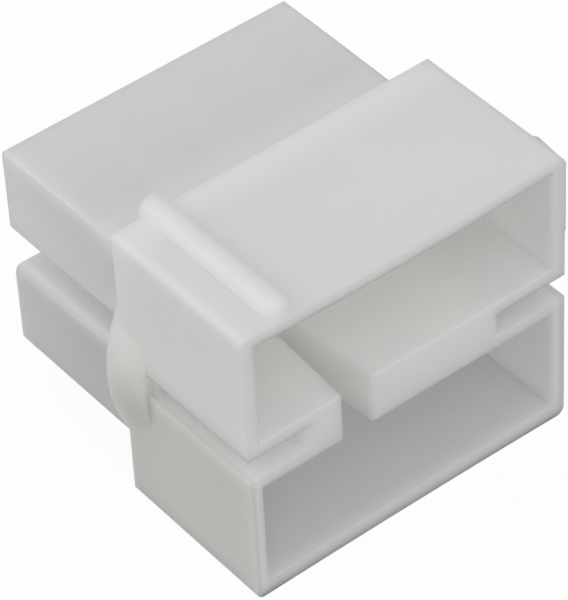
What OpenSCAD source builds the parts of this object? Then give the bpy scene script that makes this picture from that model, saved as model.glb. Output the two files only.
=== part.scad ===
// Two-row blade connector housing, moulded in one piece.
// A shroud with an upper and a lower mouth faces -Y. Two blocks of wire cavities stand out behind it.
// The origin is at the bottom, in the middle of the outer size. X runs across, +Z is up.

/* [Wire cavities] */
// Number of blades side by side in each row
ways = 4; // [2:1:6]
// Distance from one cavity to the next
pitch = 5.9; // [5.6:0.1:8]
// Clear width of a cavity
cavity_w = 5; // [4.4:0.1:5.2]
// Clear height of a cavity at its wire end
cavity_h = 5.3; // [4.4:0.1:5.6]
// Depth of the tall wire end of a cavity
cavity_d = 9.4; // [6:0.1:11]
// Height of the channel that holds the terminal
channel_h = 3.4; // [2.4:0.1:4]
// Run of the slope from the wire end to the channel
channel_slope = 1.2; // [0.5:0.1:2]
// Bevel round the wire end of a cavity
entry_bevel = 0.3; // [0.1:0.05:0.4]

/* [Blade wall] */
// Width of a blade
blade_w = 4.8; // [2.8:0.1:4.8]
// Thickness of a blade
blade_t = 0.8; // [0.4:0.1:1]
// Room left round a blade in its slot
blade_clearance = 0.1; // [0.05:0.01:0.1]
// Thickness of the wall that the blades pass through
blade_wall = 1.4; // [1:0.1:2]
// Height of the blades above and below the middle of the side slots
blade_offset = 5; // [4:0.1:6]

/* [Rear blocks] */
// Depth of the blocks behind the shroud
block_d = 13.8; // [12:0.1:18]
// Height of the upper block
upper_block_h = 6.96; // [6.6:0.02:9]
// Height of the lower block
lower_block_h = 7.66; // [6.6:0.02:9]
// Gap from the middle of the side slots up to the upper block
upper_gap = 1.72; // [1:0.02:2.4]
// Gap from the middle of the side slots down to the lower block
lower_gap = 1.44; // [1:0.02:2.4]
// Wall beside the outermost cavity, where the block meets the shroud
block_side_wall = 0.62; // [0.5:0.02:1.2]
// Growth of each side of a block from the shroud to its rear end
block_flare = 0.22; // [0:0.02:0.4]
// Rounding of the upper block's long edges
upper_block_round = 0.3; // [0.1:0.05:0.6]
// Rounding of the lower block's long edges
lower_block_round = 1; // [0.3:0.05:1.1]
// Rounding of the upper block's rear edges
upper_end_round = 0.15; // [0.1:0.05:0.6]
// Rounding of the lower block's rear edges
lower_end_round = 0.5; // [0.1:0.05:0.6]

/* [Shroud] */
// Step from the shroud's side in to the blocks
side_step = 1.58; // [1.2:0.02:3]
// Depth from the mouth plane to the back of the shroud
shroud_d = 14; // [13.6:0.1:20]
// Clear height of each mouth
mouth_h = 8.55; // [8:0.05:12]
// Depth of each mouth
mouth_d = 11; // [8:0.1:11.5]
// Thickness of the side walls
side_wall = 1.1; // [0.8:0.05:1.3]
// Thickness of the top wall
top_wall = 0.95; // [0.8:0.05:1.6]
// Thickness of the floor
floor_wall = 1.3; // [1:0.05:1.8]
// Thickness of the shelves above and below the side slots
shelf = 1.1; // [0.8:0.05:1.6]
// Rounding of the inner edges of the mouths
lead_in = 0.2; // [0.05:0.05:0.4]
// Rounding of the top long edges
top_round = 0.64; // [0.2:0.02:0.8]
// Rounding of the bottom long edges
bottom_round = 0.68; // [0.2:0.02:1]
// Rounding of the back edges at the top and the sides
back_round = 0.85; // [0.2:0.05:1]
// Rounding of the back edge at the bottom, that the housing stands on
heel_round = 0.4; // [0.2:0.05:0.6]
// Sag of the top lip in the middle of its span
lip_sag = 0.38; // [0.1:0.02:0.5]
// Rise of the floor lip in the middle of its span
lip_rise = 0.14; // [0.1:0.02:0.5]

/* [Side slots and keyway] */
// Height of the side slots
slot_h = 1.95; // [1.2:0.05:3]
// Depth of the side slots from the mouth plane
slot_d = 10.7; // [6:0.1:11]
// Reach of the left side slot in from the left side
left_slot_w = 4.95; // [3:0.05:6]
// Reach of the right side slot in from the right side
right_slot_w = 5.7; // [3:0.05:8]
// Rounding of the front edges beside the side slots
slot_round = 0.7; // [0.2:0.05:0.9]
// Distance from the left side to the keyway between the mouths
keyway_x = 7.75; // [7:0.05:9]
// Width of the keyway at the mouth plane
keyway_w = 2.6; // [1.6:0.1:3]
// Width of the keyway at its inner end
keyway_end_w = 1.2; // [0.8:0.1:1.6]
// Rounding of the keyway's front edges
keyway_round = 0.4; // [0.1:0.05:0.6]

/* [Grips and rib] */
// Radius of the bowed grip on each side
grip_r = 12.5; // [10:0.1:16]
// Stand of the grip's rear edge out from the side
grip_proud = 1; // [0.8:0.05:1.6]
// Stand of the grip's front edge out from the side
grip_lip = 0.4; // [0.2:0.05:0.7]
// Length of the grip along the side
grip_d = 3.2; // [2:0.1:5]
// Height of the grip's middle
grip_z = 11.2; // [9:0.1:14]
// Radius of the rib along the top
rib_r = 1.05; // [0.6:0.05:1.6]
// Distance from the left side to the middle of the rib
rib_x = 3.65; // [2:0.05:10]
// Distance from the mouth plane to the rib's round end
rib_start = 0.25; // [0.1:0.05:2]
// Height of the key ramp on the right side above its wall
ramp_proud = 0.38; // [0.2:0.02:0.6]
// Height of the ramp's front end above its wall
ramp_lip = 0.08; // [0.02:0.02:0.16]
// Distance from the mouth plane to the ramp's crest
ramp_crest = 3.1; // [2:0.1:6]
// Run of the ramp behind its crest
ramp_back = 0.7; // [0.3:0.1:2]
// Height of the ramp
ramp_h = 6; // [2:0.1:8]

/* [Hidden] */
$fn = 64;
grip_facets = 256;
bow_facets = 1440;
cut = 1;
natural_nylon = [0.87, 0.87, 0.84];

block_w = (ways - 1) * pitch + cavity_w + 2 * block_side_wall;
shroud_w = block_w + 2 * side_step;
mouth_w = shroud_w - 2 * side_wall;
lower_mouth_z = floor_wall;
slot_z = lower_mouth_z + mouth_h + shelf;
middle_z = slot_z + slot_h / 2;
upper_mouth_z = slot_z + slot_h + shelf;
shroud_h = upper_mouth_z + mouth_h + top_wall;
upper_block_z = middle_z + upper_gap;
lower_block_z = middle_z - lower_gap - lower_block_h;
left = -shroud_w / 2;
full_d = shroud_d + block_d;
channel_y = mouth_d + blade_wall;
root_depth = side_wall / 2;

// What a rounding takes off a corner at the origin, with the material towards +X and +Y.
module corner_off(r) {
    difference() {
        translate([-cut, -cut]) square(r + cut);
        translate([r, r]) circle(r);
    }
}

// A rectangle that stands on the X axis with its own rounding at the bottom and the top.
module section(w, h, r_bottom, r_top) {
    difference() {
        translate([-w / 2, 0]) square([w, h]);
        for (side = [0, 1]) mirror([side, 0]) {
            translate([-w / 2, 0]) corner_off(r_bottom);
            translate([-w / 2, h]) mirror([0, 1]) corner_off(r_top);
        }
    }
}

// A profile drawn in depth and height, stretched across the width w.
module across(w) {
    translate([-w / 2, 0, 0]) rotate([90, 0, 90]) linear_extrude(w) children();
}

// A profile drawn in width and height, stretched along the depth d.
module along(d) {
    translate([0, d, 0]) rotate([90, 0, 0]) linear_extrude(d) children();
}

// A depth profile from y = 0 to d, from z = 0 to h, with its own rounding low and high at its far end.
module far_rounded(d, h, r_low, r_high) {
    difference() {
        square([d, h]);
        translate([d, 0]) mirror([1, 0]) corner_off(r_low);
        translate([d, h]) mirror([1, 0]) mirror([0, 1]) corner_off(r_high);
    }
}

// The huge, slightly tipped cylinder that bows a lip: full depth at the mouth, nothing at the blade wall.
module lip_bow(depth) {
    r = pow(shroud_w / 2, 2) / (2 * depth) + depth / 2;
    translate([0, 0, -depth])
        rotate([atan(depth / mouth_d), 0, 0])
            translate([0, -cut, r])
                rotate([-90, 0, 0]) cylinder(r = r, h = full_d, $fn = bow_facets);
}

module sag_above(z) {
    translate([0, 0, z]) lip_bow(lip_sag);
}

module rise_below(z) {
    translate([0, 0, z]) mirror([0, 0, 1]) lip_bow(lip_rise);
}

// The outside of the shroud: three profiles that cross each other, less the bow of the lips.
module shroud_form() {
    difference() {
        intersection() {
            along(shroud_d) section(shroud_w, shroud_h, bottom_round, top_round);
            across(shroud_w) far_rounded(shroud_d, shroud_h, heel_round, back_round);
            linear_extrude(shroud_h)
                rotate(90) translate([0, left]) far_rounded(shroud_d, shroud_w, back_round, back_round);
        }
        sag_above(shroud_h);
        rise_below(0);
    }
}

// One mouth at height z, flared by the lead-in at the mouth plane.
module mouth(z) {
    intersection() {
        translate([0, 0, z - cut]) linear_extrude(mouth_h + 2 * cut) mouth_outline(mouth_w, -mouth_w / 2);
        across(shroud_w) rotate(-90) mirror([1, 0]) mouth_outline(mouth_h, z);
    }
}

// The mouth's outline, size wide from start, seen from above or turned to be seen from the side.
module mouth_outline(size, start) {
    translate([start, -cut]) square([size, mouth_d + cut]);
    translate([start, 0]) mirror([1, 0]) lead_in_flare();
    translate([start + size, 0]) lead_in_flare();
}

// The sliver that the lead-in rounding opens beside a mouth.
module lead_in_flare() {
    difference() {
        translate([-lead_in, -cut]) square([2 * lead_in, lead_in + cut]);
        translate([lead_in, lead_in]) circle(lead_in);
    }
}

// Both mouths, with their lips bowed as the outside is.
module mouths() {
    difference() {
        mouth(lower_mouth_z);
        rise_below(lower_mouth_z);
    }
    difference() {
        mouth(upper_mouth_z);
        sag_above(upper_mouth_z + mouth_h);
    }
}

// A side slot that reaches in by w from the left side, with its front edge rounded.
module side_slot(w) {
    translate([left, 0, slot_z]) linear_extrude(slot_h) {
        translate([-cut, -cut]) square([w + cut, slot_d + cut]);
        translate([w, 0]) corner_off(slot_round);
    }
}

// The keyway that joins the mouths, narrower towards its inner end.
module keyway() {
    taper = (keyway_w - keyway_end_w) / 2;
    height = slot_h + 2 * shelf + 2 * cut;
    translate([left + keyway_x, 0, slot_z - shelf - cut]) linear_extrude(height) {
        polygon([
            [0, -cut], [0, 0], [taper, mouth_d],
            [keyway_w - taper, mouth_d], [keyway_w, 0], [keyway_w, -cut]]);
        translate([keyway_w, 0]) corner_off(keyway_round);
    }
}

// The bowed grip on the left side, deeper towards the back: a slice of a cone, rooted in the wall.
module grip() {
    front_r = grip_r - grip_proud + grip_lip;
    intersection() {
        translate([left + grip_r - grip_proud, shroud_d - grip_d, grip_z])
            rotate([-90, 0, 0]) cylinder(r1 = front_r, r2 = grip_r, h = grip_d, $fn = grip_facets);
        translate([left - grip_proud - cut, 0, 0]) cube([grip_proud + cut + root_depth, shroud_d, shroud_h]);
    }
}

// The half-round rib along the top, with a round front end and a flat rear end.
module rib() {
    start = rib_start + rib_r;
    translate([left + rib_x, start, shroud_h]) rotate([-90, 90, 0]) rotate_extrude() {
        square([rib_r, shroud_d - start]);
        intersection() {
            circle(rib_r);
            translate([0, -rib_r]) square([rib_r, 2 * rib_r]);
        }
    }
}

// The low key ramp near the top of the right side, rooted in the wall.
module ramp() {
    heel = ramp_crest + ramp_back;
    translate([-left, 0, shroud_h - top_round - ramp_h]) linear_extrude(ramp_h)
        polygon([[-root_depth, 0], [ramp_lip, 0], [ramp_proud, ramp_crest], [0, heel], [-root_depth, heel]]);
}

// A block of cavities at height z, rounded by r and at its rear end by end_r, a little wider there.
module block(z, h, r, end_r) {
    rear_w = block_w + 2 * block_flare;
    translate([0, 0, z]) intersection() {
        along(full_d) section(rear_w, h, r, r);
        across(rear_w) far_rounded(full_d, h, end_r, end_r);
        linear_extrude(h) polygon([
            [-block_w / 2, mouth_d], [-block_w / 2, shroud_d], [-rear_w / 2, full_d],
            [rear_w / 2, full_d], [block_w / 2, shroud_d], [block_w / 2, mouth_d]]);
    }
}

// The space in one cavity: wire end, slope, channel and blade slot, on the blade's own height.
module cavity(block_middle, blade_z) {
    wire_y = full_d - cavity_d;
    low = block_middle - cavity_h / 2;
    high = block_middle + cavity_h / 2;
    half_w = cavity_w / 2;
    half_h = channel_h / 2;
    spread = entry_bevel + cut;
    slot_w = blade_w + 2 * blade_clearance;
    slot_t = blade_t + 2 * blade_clearance;
    intersection() {
        across(pitch) polygon([
            [channel_y, blade_z - half_h], [wire_y - channel_slope, blade_z - half_h],
            [wire_y, low], [full_d - entry_bevel, low], [full_d + cut, low - spread],
            [full_d + cut, high + spread], [full_d - entry_bevel, high], [wire_y, high],
            [wire_y - channel_slope, blade_z + half_h], [channel_y, blade_z + half_h]]);
        linear_extrude(shroud_h) polygon([
            [-half_w, channel_y], [-half_w, full_d - entry_bevel], [-half_w - spread, full_d + cut],
            [half_w + spread, full_d + cut], [half_w, full_d - entry_bevel], [half_w, channel_y]]);
    }
    translate([-slot_w / 2, mouth_d - cut, blade_z - slot_t / 2]) cube([slot_w, blade_wall + 2 * cut, slot_t]);
}

module cavities() {
    for (way = [0 : ways - 1]) translate([(way - (ways - 1) / 2) * pitch, 0, 0]) {
        cavity(upper_block_z + upper_block_h / 2, middle_z + blade_offset);
        cavity(lower_block_z + lower_block_h / 2, middle_z - blade_offset);
    }
}

module housing() {
    color(natural_nylon) translate([0, -full_d / 2, 0]) difference() {
        union() {
            shroud_form();
            block(upper_block_z, upper_block_h, upper_block_round, upper_end_round);
            block(lower_block_z, lower_block_h, lower_block_round, lower_end_round);
            rib();
            ramp();
            for (side = [0, 1]) mirror([side, 0, 0]) grip();
        }
        mouths();
        side_slot(left_slot_w);
        mirror([1, 0, 0]) side_slot(right_slot_w);
        keyway();
        cavities();
    }
}

housing();
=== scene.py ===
import math
import bpy
from mathutils import Matrix, Vector

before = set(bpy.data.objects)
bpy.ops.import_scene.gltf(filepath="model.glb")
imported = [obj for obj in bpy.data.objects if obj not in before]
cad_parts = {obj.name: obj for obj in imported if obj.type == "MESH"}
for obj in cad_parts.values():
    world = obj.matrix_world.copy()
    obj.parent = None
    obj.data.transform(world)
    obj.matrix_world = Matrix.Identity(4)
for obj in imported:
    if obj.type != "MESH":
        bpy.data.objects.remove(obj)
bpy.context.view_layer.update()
scene = bpy.context.scene
MM = 0.001

# The housing. One piece of uncoloured nylon 66, injection moulded in one shot: a shroud with two
# mouths and two blocks of wire cavities behind it. Light soaks into it, which softens its shadows.
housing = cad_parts["housing"]


def linear(hex_colour):
    """An sRGB hex colour as the linear colour that a shader socket takes."""
    channels = [int(hex_colour[i:i + 2], 16) / 255 for i in (1, 3, 5)]
    return [c / 12.92 if c <= 0.04045 else ((c + 0.055) / 1.055) ** 2.4 for c in channels] + [1.0]


def add_node(tree, kind, settings=None, links=None, label=""):
    """Adds a node: settings fill its properties and sockets, links join its inputs to outputs."""
    node = tree.nodes.new(kind)
    node.label = label
    for key, value in (settings or {}).items():
        if isinstance(key, str) and hasattr(node, key) and key not in node.inputs:
            setattr(node, key, value)
        else:
            node.inputs[key].default_value = value
    for key, output in (links or {}).items():
        tree.links.new(output, node.inputs[key])
    return node


# Natural nylon 66, as moulded: milky, with a satin skin. Light goes a few millimetres in before
# it comes back, a little warmer than it went, so every shadow inside the mouths stays soft.
nylon = bpy.data.materials.new("natural_nylon_66_as_moulded")
nylon.use_nodes = True
tree = nylon.node_tree
tree.nodes.clear()
place = add_node(tree, "ShaderNodeTexCoord")
axes = add_node(tree, "ShaderNodeSeparateXYZ", None, {0: place.outputs["Object"]})

# A Mix node has sockets for numbers and vectors too, so its colour sockets go by their numbers.
FACTOR, COLOUR_A, COLOUR_B = 0, 6, 7
MIXED = 2

# Painted light and shade: the base colour is painted lighter up the tower and greyer on the outer
# sides, above all on the lower tower, for how the light falls. The upper tower and its block are
# lit through their walls from every side and read whitest; the outer sides read greyer than the
# mouths.
rise = add_node(tree, "ShaderNodeMapRange",
                {"interpolation_type": "SMOOTHSTEP", "From Min": 9 * MM, "From Max": 15 * MM},
                {"Value": axes.outputs["Z"]}, "lower to upper tower")
mouth_painted_shade = add_node(tree, "ShaderNodeMix",
                      {"data_type": "RGBA",
                       COLOUR_A: linear("#f1f1f0"), COLOUR_B: linear("#f9faf7")},
                      {FACTOR: rise.outputs["Result"]}, "painted shade in the mouths")
side_painted_shade = add_node(tree, "ShaderNodeMix",
                     {"data_type": "RGBA",
                      COLOUR_A: linear("#d9d9d6"), COLOUR_B: linear("#f8f7f3")},
                     {FACTOR: rise.outputs["Result"]}, "painted shade of the outer sides")

# The painted shade of the outer sides begins just inside the shroud's side faces, and behind the
# step, where the blocks are narrower, just inside those of the blocks.
inside_shroud, inside_blocks = 12.9 * MM, 11.6 * MM
step_half_width = 0.4 * MM
side_blend = 0.4 * MM
across = add_node(tree, "ShaderNodeMath", {"operation": "ABSOLUTE"}, {0: axes.outputs["X"]})
side_start = add_node(tree, "ShaderNodeMapRange",
                      {"From Min": -step_half_width, "From Max": step_half_width,
                       "To Min": inside_shroud, "To Max": inside_blocks},
                      {"Value": axes.outputs["Y"]}, "where the sides begin")
past_start = add_node(tree, "ShaderNodeMath", {"operation": "SUBTRACT"},
                      {0: across.outputs["Value"], 1: side_start.outputs["Result"]})
on_side = add_node(tree, "ShaderNodeMapRange",
                   {"interpolation_type": "SMOOTHSTEP", "From Max": side_blend},
                   {"Value": past_start.outputs["Value"]}, "outer sides")
tower_painted_shade = add_node(tree, "ShaderNodeMix", {"data_type": "RGBA"},
                      {FACTOR: on_side.outputs["Result"], COLOUR_A: mouth_painted_shade.outputs[MIXED],
                       COLOUR_B: side_painted_shade.outputs[MIXED]}, "tower painted shade")

# Painted light: the upper block is painted nearly white, as its thin walls and air, with light on
# every side, make it read.
behind = add_node(tree, "ShaderNodeMapRange",
                  {"interpolation_type": "SMOOTHSTEP", "From Min": -1 * MM, "From Max": 3 * MM},
                  {"Value": axes.outputs["Y"]}, "behind the step")
in_block = add_node(tree, "ShaderNodeMath", {"operation": "MULTIPLY"},
                    {0: behind.outputs["Result"], 1: rise.outputs["Result"]})
painted_light_and_shade = add_node(tree, "ShaderNodeMix", {"data_type": "RGBA", COLOUR_B: linear("#fefefd")},
                      {FACTOR: in_block.outputs["Value"], COLOUR_A: tower_painted_shade.outputs[MIXED]},
                      "upper block painted light")

# Melt clouding: soft patches a hair darker, as slow flow leaves in natural nylon.
cloud = add_node(tree, "ShaderNodeTexNoise",
                 {"Scale": 1 / (7 * MM), "Detail": 3.0, "Roughness": 0.55},
                 {"Vector": place.outputs["Object"]}, "melt clouding, 7 mm")
cloud_share = add_node(tree, "ShaderNodeMapRange",
                       {"From Min": 0.3, "From Max": 0.7, "To Min": 0.985, "To Max": 1.0},
                       {"Value": cloud.outputs["Fac"]})
# The base colour: the painted light and shade above, with the melt clouding laid over it.
tone = add_node(tree, "ShaderNodeVectorMath", {"operation": "SCALE"},
                {0: painted_light_and_shade.outputs[MIXED], "Scale": cloud_share.outputs["Result"]},
                "painted light and shade, clouded")

# The skin: the fine grain of an eroded steel mould, which spreads the shine, on edges that are
# rounded a little, as no moulded edge is sharp.
skin = add_node(tree, "ShaderNodeTexNoise",
                {"Scale": 1 / (0.35 * MM), "Detail": 4.0, "Roughness": 0.6},
                {"Vector": place.outputs["Object"]}, "eroded steel finish, 0.35 mm")
soft_edge = add_node(tree, "ShaderNodeBevel", {"samples": 6, "Radius": 0.12 * MM}, None,
                     "soft moulded edges")
skin_bump = add_node(tree, "ShaderNodeBump", {"Strength": 0.08, "Distance": 0.02 * MM},
                     {"Height": skin.outputs["Fac"], "Normal": soft_edge.outputs["Normal"]})
shine = add_node(tree, "ShaderNodeMapRange", {"To Min": 0.38, "To Max": 0.52},
                 {"Value": cloud.outputs["Fac"]}, "satin to dull")
shader = add_node(tree, "ShaderNodeBsdfPrincipled",
                  {"IOR": 1.53, "Subsurface Weight": 1.0, "Subsurface Scale": 3.0 * MM,
                   "Subsurface Radius": (1.0, 0.95, 0.85)},
                  {"Base Color": tone.outputs["Vector"], "Roughness": shine.outputs["Result"],
                   "Normal": skin_bump.outputs["Normal"]})
add_node(tree, "ShaderNodeOutputMaterial", None, {"Surface": shader.outputs["BSDF"]})
housing.data.materials.clear()
housing.data.materials.append(nylon)

# The floor. A plain white sheet. To the camera it glows just past white and shows a tenth of
# what falls on it, so it keeps a faint shadow, and it throws a grey sheet's light on the housing.
floor_size = 4.0
sheet_shown = 0.9
bpy.ops.mesh.primitive_plane_add(size=floor_size)
floor = bpy.context.object
floor.name = "floor"
sheet = bpy.data.materials.new("white_paper")
sheet.use_nodes = True
tree = sheet.node_tree
tree.nodes.clear()
ray = add_node(tree, "ShaderNodeLightPath")
seen_or_mirrored = add_node(tree, "ShaderNodeMath", {"operation": "MAXIMUM"},
                            {0: ray.outputs["Is Camera Ray"], 1: ray.outputs["Is Glossy Ray"]})
looked_at = add_node(tree, "ShaderNodeMath", {"operation": "MAXIMUM"},
                     {0: seen_or_mirrored.outputs["Value"],
                      1: ray.outputs["Is Transmission Ray"]})
glow_share = add_node(tree, "ShaderNodeMath", {"operation": "MULTIPLY", 1: sheet_shown},
                      {0: looked_at.outputs["Value"]})
paper = add_node(tree, "ShaderNodeBsdfDiffuse", {"Color": linear("#b4b4b4")})
glow = add_node(tree, "ShaderNodeEmission", {"Strength": 1.06})
both = add_node(tree, "ShaderNodeMixShader", None,
                {0: glow_share.outputs["Value"], 1: paper.outputs["BSDF"],
                 2: glow.outputs["Emission"]})
add_node(tree, "ShaderNodeOutputMaterial", None, {"Surface": both.outputs["Shader"]})
floor.data.materials.append(sheet)

# The light. A white tent all round, a broad soft lamp in front of the mouths and above them, and
# a second one behind and to the left, which lifts the blocks.
world = bpy.data.worlds.new("white_tent")
scene.world = world
world.use_nodes = True
tree = world.node_tree
tree.nodes.clear()
ray = add_node(tree, "ShaderNodeLightPath")
tent = add_node(tree, "ShaderNodeBackground", {"Color": linear("#ffffff"), "Strength": 0.5})
backdrop = add_node(tree, "ShaderNodeBackground", {"Color": linear("#ffffff"), "Strength": 1.0})
both = add_node(tree, "ShaderNodeMixShader", None,
                {0: ray.outputs["Is Camera Ray"], 1: tent.outputs["Background"],
                 2: backdrop.outputs["Background"]})
add_node(tree, "ShaderNodeOutputWorld", None, {"Surface": both.outputs["Shader"]})

lamp_distance = 0.8
lamps = (("front_softbox", 2.0, 1.0, (-0.12, -0.8, 0.58)),
         ("rear_softbox", 1.6, 0.8, (-0.75, 0.45, 0.5)))
for name, watts, side, direction in lamps:
    lamp = bpy.data.lights.new(name, "AREA")
    lamp.shape = "SQUARE"
    lamp.size = side
    lamp.energy = watts
    softbox = bpy.data.objects.new(name, lamp)
    scene.collection.objects.link(softbox)
    softbox.location = Vector(direction).normalized() * lamp_distance
    softbox.rotation_euler = (-softbox.location).to_track_quat("-Z", "Y").to_euler()

# The camera. A long lens that looks down on the mouths from the front left.
azimuth = math.radians(-36.49)
elevation = math.radians(42.565)
roll = math.radians(-3.314)
distance = 0.27527
aim = Vector((-0.00008, -0.0006, 0.01142))
forward = Vector((-math.sin(azimuth) * math.cos(elevation),
                  math.cos(azimuth) * math.cos(elevation),
                  -math.sin(elevation)))
level = forward.cross(Vector((0, 0, 1))).normalized()
above = level.cross(forward)
right = level * math.cos(roll) + above * math.sin(roll)
up = above * math.cos(roll) - level * math.sin(roll)
turn = Matrix((right, up, -forward)).transposed().to_4x4()
lens = bpy.data.cameras.new("camera")
lens.lens = 243.6
lens.sensor_width = 36.0
lens.shift_x = 0.00135
lens.shift_y = -0.0317
lens.clip_start = 0.01
camera = bpy.data.objects.new("camera", lens)
scene.collection.objects.link(camera)
camera.matrix_world = Matrix.Translation(aim - forward * distance) @ turn
scene.camera = camera

# The picture. Light bounces often between the nylon's walls before it leaves a mouth.
scene.view_settings.view_transform = "Standard"
scene.cycles.diffuse_bounces = 12
